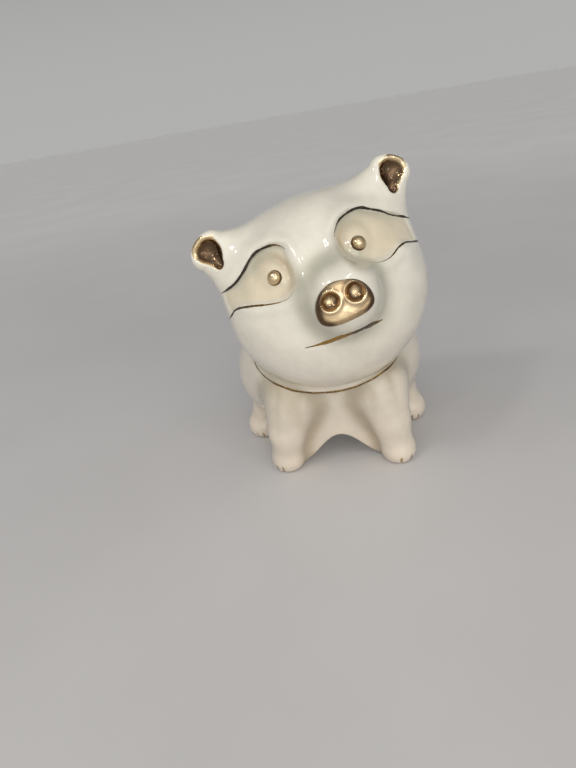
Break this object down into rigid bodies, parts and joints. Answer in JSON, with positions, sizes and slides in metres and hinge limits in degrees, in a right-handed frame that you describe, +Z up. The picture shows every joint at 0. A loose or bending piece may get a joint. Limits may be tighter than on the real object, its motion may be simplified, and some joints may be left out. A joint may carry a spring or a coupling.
{
  "type": "piggy bank",
  "caption": "Glazed pottery money bank shaped as a standing pig with a tilted head, gilded snout, pupils and ear cups, a coin slot on its back and a stopper below.",
  "frame": {"origin": "on the floor under the middle of the overall box, so the feet stand on Z = 0", "axes": "+Z up, the pig faces -Y and its left side is +X"},
  "size_m": [0.1012, 0.1287, 0.1435],
  "materials": {
    "ivory_glaze": "clear gloss glaze over cream slip",
    "gold_lustre": "fired gold lustre over glaze, mirror-like",
    "grey_rubber": "matt moulded rubber"
  },
  "bodies": {
    "pig": {"body_casting": "ivory_glaze", "head_casting": "ivory_glaze", "left_ear": "ivory_glaze", "right_ear": "ivory_glaze", "snout_plate": "gold_lustre", "left_pupil": "gold_lustre", "right_pupil": "gold_lustre", "tail": "ivory_glaze"},
    "stopper": {"stopper": "grey_rubber"}
  },
  "joints": [
    {"name": "stopper_pull", "type": "slide", "parent": "pig", "child": "stopper", "axis": [0, 0, -1], "range_m": [0, 0.0125]}
  ]
}
